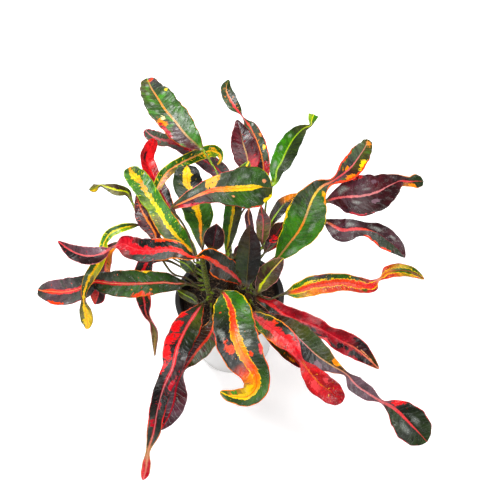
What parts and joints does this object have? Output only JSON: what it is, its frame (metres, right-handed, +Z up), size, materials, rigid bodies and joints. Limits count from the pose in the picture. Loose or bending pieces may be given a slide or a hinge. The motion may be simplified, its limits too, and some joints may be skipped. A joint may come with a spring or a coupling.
{
  "type": "potted croton plant",
  "caption": "Potted croton: upright leafy stems with long waved and twisted leaves, rooted in soil in a dark grow pot that hangs in a plain white cover pot.",
  "frame": {"origin": "centre of the cover pot's flat base, where it stands on a table", "axes": "+Z up; -Y towards the side the plant is seen from; +X to that viewer's right"},
  "size_m": [0.4104, 0.4024, 0.272],
  "materials": {
    "cover_pot": "satin",
    "nursery_pot": "satin",
    "soil": "matte",
    "stem": "satin",
    "leaf_green": "satin",
    "leaf_yellow_green": "satin",
    "leaf_maroon": "satin",
    "leaf_red": "satin",
    "leaf_orange": "satin",
    "leaf_dark": "satin",
    "leaf_young": "satin"
  },
  "bodies": {
    "root": {"cover_pot": "cover_pot", "nursery_pot": "nursery_pot", "soil": "soil", "stem_left": "stem", "stem_right": "stem", "stem_rear": "stem", "leaf_rear_broad_green": "leaf_green", "leaf_centre_top": "leaf_green", "leaf_right_upper_green": "leaf_green", "leaf_upright_yellow_rib": "leaf_green", "leaf_right_broad_green": "leaf_green", "leaf_front_hooked": "leaf_green", "leaf_left_low_red_rib": "leaf_green", "leaf_small_left_green": "leaf_green", "leaf_rear_twisted": "leaf_green", "leaf_upright_narrow": "leaf_green", "leaf_upright_dark": "leaf_green", "leaf_arched_yellow_edge": "leaf_yellow_green", "leaf_left_yellow_rib": "leaf_yellow_green", "leaf_left_hanging_yellow": "leaf_yellow_green", "leaf_left_small_olive": "leaf_yellow_green", "leaf_left_maroon": "leaf_maroon", "leaf_rear_maroon": "leaf_maroon", "leaf_right_maroon": "leaf_maroon", "leaf_right_low_maroon": "leaf_maroon", "leaf_left_hanging_purple": "leaf_maroon", "leaf_front_left_purple": "leaf_maroon", "leaf_rear_slate": "leaf_maroon", "leaf_rear_scarlet": "leaf_red", "leaf_left_upper_red_rib": "leaf_red", "leaf_front_crimson": "leaf_red", "leaf_front_red": "leaf_red", "leaf_front_left_long": "leaf_red", "leaf_right_orange": "leaf_orange", "leaf_right_small_orange": "leaf_orange", "leaf_folded_dark": "leaf_dark", "leaf_left_drooping_dark": "leaf_dark", "leaf_front_long_olive": "leaf_dark", "leaf_front_under_brown": "leaf_dark", "leaf_small_low_olive": "leaf_dark", "leaf_right_small_dark": "leaf_dark", "leaf_young_beige": "leaf_young", "leaf_small_centre_grey": "leaf_young", "leaf_young_purple": "leaf_young", "leaf_young_pink_veins": "leaf_young"}
  },
  "joints": []
}
